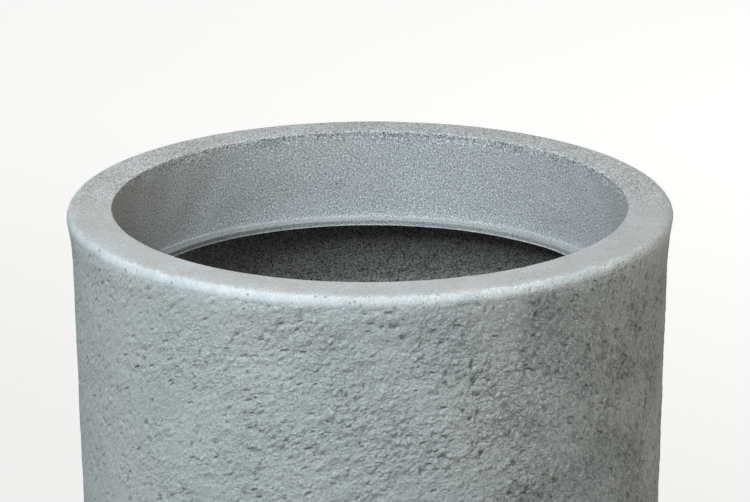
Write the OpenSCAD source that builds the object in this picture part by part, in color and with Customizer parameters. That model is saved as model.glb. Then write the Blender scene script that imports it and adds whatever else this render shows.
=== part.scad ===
// Round planter with a thin shell, a folded rim and an inner collar.
// Millimetres, +Z up, origin on the ground at the centre of the base.

/* [Shell] */
// Height from the ground to the top of the rim
planter_h = 400; // [300:5:800]
// Widest diameter, just below the top of the rim
top_d = 400; // [360:5:700]
// Thickness of the wall below the rim
wall_t = 7; // [5:0.5:10]
// Slope of the outer wall from the vertical, in degrees
wall_slope = 1.2; // [0:0.1:3]
// Thickness of the floor beside the drain
floor_t = 10; // [7:0.5:20]
// How far the floor falls from the wall to the drain
floor_fall = 2; // [0:0.5:6]
// Radius between the floor and the wall, inside
floor_round = 12; // [4:1:25]
// Radius of the outer bottom corner
base_round = 4; // [2:0.5:8]
// Height of the foot ring below the floor
ring_h = 8; // [5:0.5:16]

/* [Rim] */
// Width of the rim, from its inner edge to the widest circle
rim_w = 30; // [24:0.5:50]
// Thickness of the rim's flat part
rim_t = 8; // [6:0.5:14]
// Radius of the rim's outer edge
rim_round = 6.5; // [3:0.5:10]
// Radius of the rim's inner edge
arris_round = 1.6; // [0.6:0.2:2.6]
// Radius under the rim, between its flat part and the wall
fold_round = 4; // [2:0.5:6]
// How far the top of the wall swells out past its straight line
flare = 2.9; // [0:0.1:6]
// Height of the swelling, below the rim's round edge
flare_h = 34; // [15:1:60]

/* [Collar] */
// Depth of the collar's underside below the top of the rim
collar_depth = 66; // [40:1:120]
// Thickness of the collar's wall
collar_t = 7; // [5:0.5:9]
// Slope of the collar's inner face, in degrees, narrowing downwards
collar_draft = 1.7; // [0:0.1:4]
// Thickness of the rim over the top of the collar
seat_cover = 3.2; // [3:0.1:5]
// How far the lip reaches in from the foot of the collar's face
lip_w = 7; // [4:0.2:20]
// Thickness of the lip at its trimmed edge
lip_t = 4; // [2.5:0.1:7]
// Radius where the collar's inner face meets the lip
ledge_round = 2; // [0.5:0.25:3]
// Radius of the collar's outer bottom corner
collar_round = 4; // [2:0.5:5]
// Gap left round the collar for the bonding paste
bond_gap = 0.3; // [0.2:0.1:1]

/* [Drain] */
// Bore of the drain sleeve
drain_d = 28; // [16:1:40]
// Thickness of the sleeve's tube
sleeve_t = 2.5; // [1.5:0.25:4]
// Width of the sleeve's flange beyond its tube
flange_w = 9; // [6:0.5:16]
// Thickness of the flange
flange_t = 3; // [2:0.25:5]
// How far the tube stands below the floor as a drip edge
drip_h = 3; // [1:0.5:4]
// Gap round the sleeve in its hole
sleeve_gap = 0.3; // [0.2:0.1:1]
// Radius of the flange's outer edge and bevel at the mouth of the bore
flange_edge = 1; // [0.2:0.1:1.6]

/* [Plug] */
// How far the plug's head reaches over the flange
plug_over = 6; // [3:0.5:8]
// Thickness of the plug's head
plug_head_t = 5; // [3:0.5:9]
// Length of the plug's shank below its head
plug_len = 13; // [6:0.5:16]
// Gap between the shank and the bore, at the top
plug_gap = 0.3; // [0.2:0.1:0.8]
// Slope of the shank, in degrees
plug_taper = 4; // [1:0.5:10]
// Number of sealing ribs round the shank
plug_ribs = 2; // [1:1:4]
// Height of a sealing rib
rib_h = 1.6; // [0.8:0.1:2]
// Height of the grip on the head
grip_h = 14; // [8:1:25]
// Thickness of the grip
grip_t = 6; // [4:0.5:10]
// Width of the grip
grip_w = 24; // [14:1:30]

/* [Feet] */
// Number of pads
foot_count = 4; // [3:1:8]
// Diameter of a pad
foot_d = 28; // [16:1:40]
// Height that a pad stands out below the foot ring
foot_stand = 3; // [1:0.5:6]
// Depth of the pocket that a pad sits in
foot_pocket = 2; // [1:0.5:4]
// Gap round a pad in its pocket
foot_gap = 0.3; // [0.2:0.1:1]
// Radius of a pad's lower edge
foot_round = 0.8; // [0.2:0.1:0.9]
// Width of the foot ring on each side of a pad
foot_margin = 3; // [2:0.5:8]

/* [Hidden] */
$fn = 180;

// Segments of each kind of round stretch
edge_steps = 8;
small_steps = 5;
flare_steps = 8;

// Heights of the shell
ring_z = foot_stand;
pocket_z = ring_z + foot_pocket;
under_z = ring_z + ring_h;
drain_z = under_z + floor_t;
wide_z = planter_h - rim_round;
seat_z = planter_h - seat_cover;

// Radii of the shell
top_r = top_d / 2;
arris_r = top_r - rim_w;
base_r = line_r(ring_z);
fold_r = line_r(planter_h - rim_t) - wall_t;
seat_r = arris_r + collar_t + bond_gap;
corner_z = drain_z + floor_fall + floor_round;
corner_r = line_r(corner_z) - wall_t;
pad_r = base_r - base_round - foot_margin - foot_d / 2;
recess_r = pad_r - foot_d / 2 - foot_margin;

// Drain fitting
bore_r = drain_d / 2;
tube_r = bore_r + sleeve_t;
flange_r = tube_r + flange_w;
shank_r = bore_r - plug_gap;
head_r = bore_r + plug_over;
head_round = plug_head_t / 3;

// How far the grip's outline starts inside the head, so that the two are one solid
grip_sink = 1;

// Collar
foot_z = planter_h - collar_depth;
ledge_z = foot_z + lip_t;
face_r = arris_r - (seat_z - ledge_z) * tan(collar_draft);
lip_r = face_r - lip_w;

// Radius of the wall's straight line at height z
function line_r(z) = top_d / 2 - flare - (planter_h - rim_round - z) * tan(wall_slope);

// Points of an arc in the profile, from angle a to angle b
function arc(r, z, radius, a, b, steps) =
    [for (i = [0:steps]) let (t = a + (b - a) * i / steps) [r + radius * cos(t), z + radius * sin(t)]];

// The swelling at the top of the wall, from its foot up to the widest circle
function flare_line() =
    [for (i = [0:flare_steps - 1]) let (u = i / flare_steps, z = wide_z - flare_h * (1 - u))
        [line_r(z) + flare * u * u, z]];

// Half section of the shell, from the drain hole round the outside and back along the inside
function shell_section() = concat(
    [[tube_r + sleeve_gap, under_z], [recess_r, under_z], [recess_r, ring_z]],
    arc(base_r - base_round, ring_z + base_round, base_round, -90, 0, small_steps),
    flare_line(),
    arc(top_r - rim_round, wide_z, rim_round, 0, 90, edge_steps),
    arc(arris_r + arris_round, planter_h - arris_round, arris_round, 90, 180, small_steps),
    [[arris_r, seat_z], [seat_r, seat_z], [seat_r, planter_h - rim_t]],
    arc(fold_r - fold_round, planter_h - rim_t - fold_round, fold_round, 90, 0, small_steps),
    arc(corner_r - floor_round, corner_z, floor_round, 0, -90, small_steps),
    [[flange_r + sleeve_gap, drain_z], [flange_r + sleeve_gap, drain_z - flange_t],
        [tube_r + sleeve_gap, drain_z - flange_t]]);

// Half section of the collar, from its top edge down the face, round the lip and up the back
function collar_section() = concat(
    [[arris_r, seat_z]],
    arc(face_r - ledge_round, ledge_z + ledge_round, ledge_round, 0, -90, small_steps),
    [[lip_r, ledge_z], [lip_r, foot_z]],
    arc(face_r + collar_t - collar_round, foot_z + collar_round, collar_round, -90, 0, small_steps),
    [[arris_r + collar_t, seat_z]]);

// Places something at pad i
module at_pad(i) {
    rotate([0, 0, (i - 0.5) * 360 / foot_count])
        translate([pad_r, 0, 0])
            children();
}

module shell() {
    color([0.60, 0.63, 0.64])
        difference() {
            rotate_extrude()
                polygon(shell_section());
            for (i = [1:foot_count])
                at_pad(i)
                    cylinder(h = pocket_z, d = foot_d + 2 * foot_gap);
        }
}

module collar() {
    color([0.54, 0.57, 0.58])
        rotate_extrude()
            polygon(collar_section());
}

module drain_sleeve() {
    color([0.20, 0.21, 0.22])
        rotate_extrude()
            polygon(concat(
                [[bore_r, under_z - drip_h], [tube_r, under_z - drip_h], [tube_r, drain_z - flange_t],
                    [flange_r, drain_z - flange_t]],
                arc(flange_r - flange_edge, drain_z - flange_edge, flange_edge, 0, 90, small_steps),
                [[bore_r + flange_edge, drain_z], [bore_r, drain_z - flange_edge]]));
}

// Radius of the plug's shank at depth d below its head
function shank_at(d) = shank_r - d * tan(plug_taper);

// Outline of one sealing rib, whose crest is at depth d
function rib_line(d) = [[shank_at(d + rib_h / 2), drain_z - d - rib_h / 2], [shank_r, drain_z - d],
    [shank_at(d - rib_h / 2), drain_z - d + rib_h / 2]];

module drain_plug() {
    head_z = drain_z + plug_head_t;
    rib_step = plug_len / (plug_ribs + 1);
    color([0.10, 0.10, 0.10]) {
        rotate_extrude()
            polygon(concat(
                [[0, drain_z - plug_len], [shank_at(plug_len), drain_z - plug_len]],
                [for (i = [plug_ribs:-1:1]) each rib_line(i * rib_step)],
                [[shank_r, drain_z], [head_r, drain_z]],
                arc(head_r - head_round, head_z - head_round, head_round, 0, 90, small_steps),
                [[0, head_z]]));
        translate([0, grip_t / 2, head_z])
            rotate([90, 0, 0])
                linear_extrude(grip_t)
                    grip_outline();
    }
}

// Side view of the grip: straight sides and a round top
module grip_outline() {
    intersection() {
        translate([-grip_w / 2, -grip_sink])
            square([grip_w, grip_sink + grip_h]);
        translate([0, grip_h - grip_w])
            circle(r = grip_w);
    }
}

module foot(i) {
    color([0.13, 0.13, 0.13])
        at_pad(i)
            rotate_extrude()
                polygon(concat(
                    [[0, 0]],
                    arc(foot_d / 2 - foot_round, foot_round, foot_round, -90, 0, small_steps),
                    [[foot_d / 2, pocket_z], [0, pocket_z]]));
}

shell();
collar();
drain_sleeve();
drain_plug();
for (i = [1:foot_count])
    foot(i);
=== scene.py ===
"""Looks of the round concrete planter: a rough cast shell, a granular collar, drain fittings and pads."""
import math

import bpy
import numpy as np
from mathutils import Matrix, Vector, geometry


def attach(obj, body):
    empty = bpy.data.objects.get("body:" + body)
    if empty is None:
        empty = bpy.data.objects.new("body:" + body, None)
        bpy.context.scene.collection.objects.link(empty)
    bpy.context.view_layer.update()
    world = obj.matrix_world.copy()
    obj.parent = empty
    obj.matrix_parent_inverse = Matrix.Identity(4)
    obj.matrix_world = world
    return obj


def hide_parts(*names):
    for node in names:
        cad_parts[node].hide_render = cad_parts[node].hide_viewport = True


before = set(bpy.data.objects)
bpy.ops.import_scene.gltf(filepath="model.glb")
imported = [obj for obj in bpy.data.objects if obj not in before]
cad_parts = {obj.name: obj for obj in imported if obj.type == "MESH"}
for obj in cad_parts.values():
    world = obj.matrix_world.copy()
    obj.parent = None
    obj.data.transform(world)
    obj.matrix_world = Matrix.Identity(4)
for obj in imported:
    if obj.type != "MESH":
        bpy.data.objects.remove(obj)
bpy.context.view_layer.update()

# Sizes in millimetres, the same as the solid model's
MM = 0.001
HEIGHT = 400.0
TOP_R = 200.0
WALL_T = 7.0
WALL_SLOPE = math.radians(1.2)
RING_Z = 3.0
UNDER_Z = 11.0
DRAIN_Z = 21.0
FLOOR_FALL = 2.0
FLOOR_ROUND = 12.0
BASE_ROUND = 4.0
RIM_W = 30.0
RIM_T = 8.0
RIM_ROUND = 6.5
ARRIS_ROUND = 1.6
FOLD_ROUND = 4.0
FLARE = 2.9
FLARE_H = 34.0
COLLAR_DEPTH = 66.0
COLLAR_T = 7.0
COLLAR_DRAFT = math.radians(1.7)
SEAT_COVER = 3.2
LIP_W = 7.0
LIP_T = 4.0
LEDGE_ROUND = 2.0
COLLAR_ROUND = 4.0
BOND_GAP = 0.3
BORE_R = 14.0
TUBE_R = 16.5
FLANGE_R = 25.5
FLANGE_T = 3.0
SLEEVE_GAP = 0.3
DRIP_H = 3.0
FLANGE_EDGE = 1.0
PLUG_OVER = 6.0
PLUG_HEAD_T = 5.0
PLUG_LEN = 13.0
PLUG_GAP = 0.3
PLUG_TAPER = math.radians(4.0)
RIB_H = 1.6
PLUG_RIBS = 2
GRIP_H = 14.0
GRIP_T = 6.0
GRIP_W = 24.0
PADS = (1, 2, 3, 4)
FOOT_R = 14.0
FOOT_POCKET = 2.0
FOOT_GAP = 0.3
FOOT_ROUND = 0.8
FOOT_MARGIN = 3.0

WIDE_Z = HEIGHT - RIM_ROUND
SEAT_Z = HEIGHT - SEAT_COVER
ARRIS_R = TOP_R - RIM_W
SEAT_R = ARRIS_R + COLLAR_T + BOND_GAP
HOLE_R = TUBE_R + SLEEVE_GAP
RECESS_TOP_R = FLANGE_R + SLEEVE_GAP


def line_r(z):
    """Radius of the wall's straight line at height z."""
    return TOP_R - FLARE - (WIDE_Z - z) * math.tan(WALL_SLOPE)


def wall_r(z):
    """Radius of the outer wall at height z, with the swelling under the rim."""
    u = min(max((z - (WIDE_Z - FLARE_H)) / FLARE_H, 0.0), 1.0)
    return line_r(z) + FLARE * u * u


BASE_R = line_r(RING_Z)
RING_R = BASE_R - BASE_ROUND
FOLD_R = line_r(HEIGHT - RIM_T) - WALL_T
CORNER_Z = DRAIN_Z + FLOOR_FALL + FLOOR_ROUND
CORNER_R = line_r(CORNER_Z) - WALL_T
PAD_R = RING_R - FOOT_MARGIN - FOOT_R
RECESS_R = PAD_R - FOOT_R - FOOT_MARGIN
POCKET_R = FOOT_R + FOOT_GAP
POCKET_TOP = RING_Z + FOOT_POCKET
FOOT_Z = HEIGHT - COLLAR_DEPTH
LEDGE_Z = FOOT_Z + LIP_T
FACE_R = ARRIS_R - (SEAT_Z - LEDGE_Z) * math.tan(COLLAR_DRAFT)
LIP_R = FACE_R - LIP_W

# Columns of the turned meshes, and the width of a column at a middle radius
OUT_COLS = 900
IN_COLS = 450
COLLAR_COLS = 1000
SMALL_COLS = 144
PAD_COLS = 96
POCKET_COLS = 72
OUT_COL = 2 * math.pi * 195.0 / OUT_COLS
IN_COL = 2 * math.pi * 185.0 / IN_COLS
COLLAR_COL = 2 * math.pi * ARRIS_R / COLLAR_COLS

# Steps along the wall and on the grids of the relief
WALL_STEP = 1.4
FIELD_STEP = 1.4
COLLAR_STEP = 1.1

# Distance between a sharp edge and the row of points beside it, which keeps the shading crisp
EDGE_ROW = 0.06

# The wall's lumps are longer than high, and lie along sheets that rise to the right and to the front
SLANT = 0.15
LEAN = 0.55
STRETCH = 1.2

# Height above which the outside belongs to the rim, and the mean height at which the pale band begins
RIM_Z = 390
BAND_Z = 391.9

# Roughness of the wall by the angle to the right of the front, in degrees: smoothest at the left, and most
# uneven between the front and the right
SIDE_ANGLES = (-60, -34, -13, 0, 15, 34, 56, 90, 180)
SIDE_ROUGHNESS = (0.40, 0.50, 0.78, 0.80, 1.35, 3.2, 3.1, 1.6, 1.0)

# The shell's map: millimetres across it, and how much smaller the inner wall and the two discs are drawn
MAP_MM = 885.0
IN_SCALE = 0.42
DISC_SCALE = 0.34


# Profiles

def arc(r, z, radius, start, end, steps):
    """Points of an arc of a profile, angles in degrees, both ends included."""
    angles = np.radians(np.linspace(start, end, steps + 1))
    return np.c_[r + radius * np.cos(angles), z + radius * np.sin(angles)]


def run(a, b, step):
    """Evenly spaced points from a to b, both ends included."""
    count = max(1, int(round(math.dist(a, b) / step)))
    t = np.linspace(0.0, 1.0, count + 1)[:, None]
    return (1 - t) * np.array(a) + t * np.array(b)


def chain(*parts):
    """Joins stretches of a profile and drops doubled points."""
    points = np.concatenate([np.atleast_2d(part) for part in parts])
    keep = np.r_[True, np.hypot(*np.diff(points, axis=0).T) > 1e-4]
    return points[keep]


def profile_normals(points, closed=False):
    """Normals to the right of a profile's direction: outwards where it runs up the outside."""
    if closed:
        ahead, behind = np.roll(points, -1, axis=0), np.roll(points, 1, axis=0)
    else:
        ahead, behind = np.r_[points[1:], points[-1:]], np.r_[points[:1], points[:-1]]
    tangent = ahead - behind
    tangent /= np.hypot(*tangent.T)[:, None]
    return np.c_[tangent[:, 1], -tangent[:, 0]]


def lengths(points):
    """Length of a profile from its start to each of its points."""
    return np.r_[0.0, np.cumsum(np.hypot(*np.diff(points, axis=0).T))]


# Relief

def smooth(x, low, high):
    """A smooth step from 0, at low, to 1, at high."""
    t = np.clip((x - low) / (high - low), 0.0, 1.0)
    return t * t * (3 - 2 * t)


def wave_gain(freq, wave, spread):
    """How much of each frequency belongs to lumps that repeat about every wave millimetres."""
    return np.exp(-0.5 * (np.log(freq * wave) / spread) ** 2)


class Relief:
    """Seeded random fields over a turned profile, on a grid that wraps round the planter."""

    def __init__(self, s, spare_rows, cols, step, col_mm, stretch=1.0):
        """The profile's points lie at the lengths s. Spare rows keep its two ends from meeting."""
        self.s, self.step = s, step
        self.rows, self.cols = int(math.ceil(s[-1] / step)) + spare_rows, cols
        up = np.fft.fftfreq(self.rows, d=step)[:, None]
        sideways = np.fft.rfftfreq(cols, d=col_mm)[None, :]
        tilt = math.atan(SLANT)
        along = (sideways * math.cos(tilt) + up * math.sin(tilt)) * stretch ** 0.5
        across = (up * math.cos(tilt) - sideways * math.sin(tilt)) / stretch ** 0.5
        self.freq = np.hypot(along, across)
        self.freq[0, 0] = 1e-9

    def field(self, seed, wave, spread=0.35):
        """Noise with a spread of 1, whose lumps repeat about every wave millimetres."""
        white = np.random.default_rng(seed).standard_normal((self.rows, self.cols))
        grid = np.fft.irfft2(np.fft.rfft2(white) * wave_gain(self.freq, wave, spread), s=white.shape)
        grid /= grid.std()
        place = np.clip(self.s / self.step, 0, self.rows - 1.001)
        low = place.astype(int)
        part = (place - low)[:, None]
        return (1 - part) * grid[low] + part * grid[low + 1]


def lumps(noise):
    """Noise turned into rounded lumps with narrow creases between them, with a spread of 1."""
    mean, spread = 0.798, 0.603
    return (np.abs(noise) - mean) / spread


def rim_noise(seed, wave, spread=0.4):
    """Noise that runs once round the rim, one number for each column, for uneven borders."""
    freq = np.fft.rfftfreq(OUT_COLS, d=2 * math.pi * TOP_R / OUT_COLS)
    freq[0] = 1e-9
    white = np.random.default_rng(seed).standard_normal(OUT_COLS)
    out = np.fft.irfft(np.fft.rfft(white) * wave_gain(freq, wave, spread), n=OUT_COLS)
    return out / out.std()


# Meshes

def turn(points, normals, height, cols):
    """Vertices of a profile turned round the axis and moved by height along its normals."""
    angle = np.arange(cols) * 2 * math.pi / cols
    r = points[:, :1] + normals[:, :1] * height
    z = points[:, 1:] + normals[:, 1:] * height
    out = np.stack([r * np.cos(angle), r * np.sin(angle), z], axis=-1)
    return out.reshape(-1, 3)


def grid_quads(rows, cols, offset=0, closed=False):
    """Quads between neighbouring rows of a turned profile, with their row and column."""
    j, i = np.meshgrid(np.arange(rows if closed else rows - 1), np.arange(cols), indexing="ij")
    j, i = j.ravel(), i.ravel()
    low, high = offset + j * cols, offset + (j + 1) % rows * cols
    right = (i + 1) % cols
    return np.c_[low + i, low + right, high + right, high + i], j, i


def make_mesh(name, verts, groups):
    """A smooth mesh from vertices in millimetres and groups of faces that have as many corners each."""
    mesh = bpy.data.meshes.new(name)
    mesh.vertices.add(len(verts))
    mesh.vertices.foreach_set("co", (np.asarray(verts) * MM).astype(np.float32).ravel())
    loops = np.concatenate([g.ravel() for g in groups]).astype(np.int32)
    sizes = np.concatenate([np.full(len(g), g.shape[1]) for g in groups])
    starts = np.r_[0, np.cumsum(sizes)[:-1]].astype(np.int32)
    mesh.loops.add(len(loops))
    mesh.loops.foreach_set("vertex_index", loops)
    mesh.polygons.add(len(sizes))
    mesh.polygons.foreach_set("loop_start", starts)
    mesh.update(calc_edges=True)
    mesh.validate()
    mesh.polygons.foreach_set("use_smooth", np.ones(len(mesh.polygons), bool))
    obj = bpy.data.objects.new(name, mesh)
    bpy.context.scene.collection.objects.link(obj)
    return obj


def set_value(obj, name, values):
    """Stores one number per vertex, which the material reads."""
    layer = obj.data.attributes.new(name, "FLOAT", "POINT")
    layer.data.foreach_set("value", np.asarray(values, np.float32).ravel())


def set_uv(obj, uv):
    """Stores the map, named OFBake, that the looks can be baked on."""
    layer = obj.data.uv_layers.new(name="OFBake")
    layer.data.foreach_set("uv", np.asarray(uv, np.float32).ravel())


def unroll(j, i, s, cols, strips, col_mm):
    """Corner positions, in millimetres, of the quads of a turned profile that is cut into strips, which all
    start at the same corner. Returns the positions and the strip of each quad."""
    per_strip = cols // strips
    strip = i // per_strip
    left = (i - strip * per_strip) * col_mm
    right = left + col_mm
    low, high = s[j], s[j + 1]
    corners = [np.c_[left, low], np.c_[right, low], np.c_[right, high], np.c_[left, high]]
    return np.stack(corners, axis=1), strip


# Shell

def shell_outside():
    """Profile from the foot of the outer corner up the wall, over the rim and down the inner arris."""
    corner = arc(RING_R, RING_Z + BASE_ROUND, BASE_ROUND, -90, 0, 8)
    rows = int(round((WIDE_Z - RING_Z - BASE_ROUND) / WALL_STEP)) + 1
    wall_z = np.linspace(RING_Z + BASE_ROUND, WIDE_Z, rows)
    wall = np.c_[[wall_r(z) for z in wall_z], wall_z]
    rim = arc(TOP_R - RIM_ROUND, WIDE_Z, RIM_ROUND, 0, 90, 14)
    top = run((TOP_R - RIM_ROUND, HEIGHT), (ARRIS_R + ARRIS_ROUND, HEIGHT), 1.25)
    arris = arc(ARRIS_R + ARRIS_ROUND, HEIGHT - ARRIS_ROUND, ARRIS_ROUND, 90, 180, 6)
    drop = run((ARRIS_R, HEIGHT - ARRIS_ROUND), (ARRIS_R, SEAT_Z + EDGE_ROW), 0.6)
    return chain(corner, wall, rim, top, arris, drop, [(ARRIS_R, SEAT_Z)])


def shell_inside():
    """Profile from the seat over the collar, down the inner wall, over the floor, through the drain hole
    and under the floor to the inner edge of the foot ring."""
    edge, recess_round = 1.0, 2.0
    return chain(
        run((SEAT_R, SEAT_Z), (SEAT_R, HEIGHT - RIM_T), 2.4),
        run((SEAT_R, HEIGHT - RIM_T), (FOLD_R - FOLD_ROUND, HEIGHT - RIM_T), 3.0),
        arc(FOLD_R - FOLD_ROUND, HEIGHT - RIM_T - FOLD_ROUND, FOLD_ROUND, 90, 0, 6),
        run((FOLD_R, HEIGHT - RIM_T - FOLD_ROUND), (CORNER_R, CORNER_Z), 2.4),
        arc(CORNER_R - FLOOR_ROUND, CORNER_Z, FLOOR_ROUND, 0, -90, 10),
        run((CORNER_R - FLOOR_ROUND, CORNER_Z - FLOOR_ROUND), (RECESS_TOP_R + edge, DRAIN_Z), 2.4),
        arc(RECESS_TOP_R + edge, DRAIN_Z - edge, edge, 90, 180, 3),
        [(RECESS_TOP_R, DRAIN_Z - FLANGE_T), (HOLE_R, DRAIN_Z - FLANGE_T)],
        [(HOLE_R, (DRAIN_Z + UNDER_Z) / 2)],
        arc(HOLE_R + edge, UNDER_Z + edge, edge, 180, 270, 3),
        run((HOLE_R + edge, UNDER_Z), (RECESS_R - recess_round - edge, UNDER_Z), 3.2),
        arc(RECESS_R - recess_round, UNDER_Z - recess_round, recess_round, 90, 0, 4),
        run((RECESS_R, UNDER_Z - recess_round), (RECESS_R, RING_Z + edge), 2.0),
        arc(RECESS_R + edge, RING_Z + edge, edge, 180, 270, 3),
    )


def shell_zones(line, normals):
    """How far each point of the outside belongs to the wall, to the pale band above it, to the top of the
    rim and to the rim's bare inner edge, each from 0 to 1."""
    r, z = line[:, :1], line[:, 1:]
    on_rim = z > RIM_Z
    border = BAND_Z + 0.25 * rim_noise(11, 22) + 0.3 * rim_noise(12, 6)
    outer_side = (r >= TOP_R - RIM_ROUND) | (z < RIM_Z)
    wall = smooth(-z, -border - 0.6, -border + 1.3) * (outer_side & (z <= WIDE_Z + 1))
    top_edge = 0.84 + 0.02 * rim_noise(16, 7) + 0.025 * rim_noise(17, 30)
    top = smooth(normals[:, 1:], top_edge - 0.10, top_edge + 0.10) * on_rim
    arris = np.broadcast_to(smooth(-r, -ARRIS_R - 1.2, -ARRIS_R - 0.1) * on_rim, wall.shape)
    return wall, np.clip(1 - wall - top - arris, 0, 1), top, arris


def outside_relief(line, normals):
    """Height of the relief of the outside, and the values that the material reads there."""
    field = Relief(lengths(line), 63, OUT_COLS, FIELD_STEP, OUT_COL, STRETCH).field
    r, z = line[:, :1], line[:, 1:]
    wall, band, top, arris = shell_zones(line, normals)
    swell, lump, knob, grit = field(1, 60), field(2, 17), lumps(field(3, 11)), field(4, 5.0, 0.3)

    # The wall is rougher in patches and by side, and a little smoother close below the band
    patch = smooth(field(5, 70), -1.6, 1.6)
    angle = np.degrees(np.arange(OUT_COLS) * 2 * math.pi / OUT_COLS) + 90
    sides = np.interp(angle, SIDE_ANGLES, SIDE_ROUGHNESS, period=360)
    fine_rough = (0.68 + 0.60 * patch) * sides * (1 - 0.25 * smooth(z, 350, 388))
    rough = (0.60 + 0.75 * patch) * np.minimum(sides, 1.3)

    # Pits and pricks gather in clusters, and each smooth zone has a few of its own
    cluster = field(6, 55)
    hollow = field(7, 9.0, 0.45) + 0.55 * field(8, 4.2)
    pits = smooth(hollow - 2.15 + 0.45 * cluster, 0.0, 0.6) * wall
    fine_hollow = field(9, 5.0) + 0.4 * field(10, 3.2)
    pricks = smooth(fine_hollow - 2.35 + 0.3 * cluster, 0.0, 0.4) * wall
    band_pits = smooth(field(13, 5.0, 0.3) - 2.1, 0.0, 0.3) * band
    arris_pits = smooth(field(14, 4.0, 0.3) - 2.0, 0.0, 0.6) * arris
    by_arris = smooth(-r, -ARRIS_R - 2.6, -ARRIS_R - 0.6) * (z > RIM_Z)
    chips = smooth(field(15, 7.0) - 1.9, 0.0, 0.6) * by_arris
    seam = smooth(z, SEAT_Z, SEAT_Z + 0.9) * arris

    sunk = 0.12 * smooth(z, 370, 386)
    height = wall * (0.12 * swell + 0.04 * lump + rough * (0.08 * knob + 0.07 * grit) - sunk)
    height += band * (0.05 * lump + 0.03 * knob - 0.12)
    height += top * (0.03 * swell + 0.02 * lump - 0.09)
    height += seam * (0.12 * grit + 0.06 * knob - 0.10)
    height -= 1.1 * pits + 0.6 * pricks + 0.6 * band_pits + 0.9 * arris_pits + 0.45 * chips
    height *= smooth(z, RING_Z, RING_Z + 3)
    # Nothing stands out past the widest circle or above the rim
    at_limit = (z > 385) & (r > TOP_R - 3) | (z > HEIGHT - 1.5)
    height = np.minimum(height, np.where(at_limit, -0.01, 3.0))

    # Painted shade: the material darkens the pits, the pricks, the band's and the arris' pits and the chips
    pit_shade = np.clip(pits + 0.7 * pricks + 0.8 * band_pits + arris_pits + 0.5 * chips, 0, 1)
    # Painted light and shade: the material makes the crests a little lighter and the dips between them a
    # little darker
    crest = np.clip(0.5 + 0.20 * (0.8 * knob + 0.6 * grit) * wall, 0, 1)
    return height, {"wall": wall, "band": band, "top": top, "arris": arris, "pit_shade": pit_shade, "crest": crest,
                    "rough": fine_rough * wall}


def inside_relief(line):
    """Height of the relief of the inside, the floor and the underside, and the values for the material."""
    field = Relief(lengths(line), 3, IN_COLS, FIELD_STEP, IN_COL).field
    row = np.arange(len(line))[:, None]
    plain = smooth(line[:, :1], 30, 90) * smooth(row, 3, 8)
    fine = field(23, 9)
    holes = smooth(field(24, 11.0) - 2.2, 0.0, 0.5) * plain
    height = plain * (0.25 * field(21, 60) + 0.12 * field(22, 22) + 0.09 * fine) - 0.8 * holes
    height = np.minimum(height * smooth(len(line) - 1 - row, 0, 4), 0.35)
    inside = (line[:, 1:] > DRAIN_Z - 0.5) * np.ones((1, IN_COLS))
    # Painted shade: the material darkens the holes
    return height, {"inside": inside, "pit_shade": holes, "crest": np.clip(0.5 + 0.2 * fine, 0, 1), "rough": 0.4}


def pad_centre(number):
    """Middle of a pad, seen from above."""
    angle = math.radians(45 + 90 * (number - 1))
    return PAD_R * math.cos(angle), PAD_R * math.sin(angle)


def pocket_circle(pad):
    """Points round a pad's pocket, seen from above."""
    x, y = pad_centre(pad)
    angles = [2 * math.pi * k / POCKET_COLS for k in range(POCKET_COLS)]
    return [(x + POCKET_R * math.cos(t), y + POCKET_R * math.sin(t)) for t in angles]


def in_pocket(x, y, margin):
    """Whether a place on the foot ring lies in a pad's pocket or no more than margin beside it."""
    return any(math.dist((x, y), pad_centre(pad)) <= POCKET_R + margin for pad in PADS)


def loop_edges(first, count):
    """Edges that join count points, from number first, into a loop."""
    return [(first + k, first + (k + 1) % count) for k in range(count)]


def ring_places(rng):
    """Unevenly spaced places on the face of the foot ring, clear of its pockets."""
    row_step, spacing, margin = 3.0, 3.4, 1.2
    places = []
    for r in np.arange(RECESS_R + 4, RING_R - 2, row_step):
        count = int(2 * math.pi * r / spacing)
        for k in range(count):
            t = 2 * math.pi * (k + 0.6 * rng.random()) / count
            x, y = r * math.cos(t), r * math.sin(t)
            if not in_pocket(x, y, margin):
                places.append((x, y))
    return places


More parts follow.
